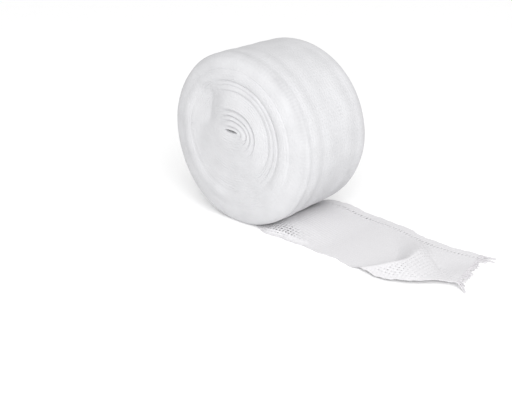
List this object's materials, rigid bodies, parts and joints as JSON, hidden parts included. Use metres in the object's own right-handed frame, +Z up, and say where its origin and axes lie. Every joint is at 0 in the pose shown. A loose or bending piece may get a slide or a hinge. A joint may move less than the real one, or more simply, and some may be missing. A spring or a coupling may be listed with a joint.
{
  "type": "gauze bandage roll",
  "caption": "Roll of soft open-weave gauze bandage lying on its side, its free end run out on the surface and frayed at the cut.",
  "frame": {"origin": "middle of the flat spot on which the roll rests", "axes": "+Z up, +X the way the free end runs out, +Y along the roll's axis, away from the end that shows its turns"},
  "size_m": [0.1588, 0.0581, 0.0834],
  "materials": {
    "wound_gauze": "soft white open-weave cotton, many layers",
    "single_gauze": "soft white open-weave cotton, one sheer layer"
  },
  "bodies": {
    "root": {"roll": "wound_gauze", "tail": "single_gauze", "frayed_end": "single_gauze"}
  },
  "joints": []
}
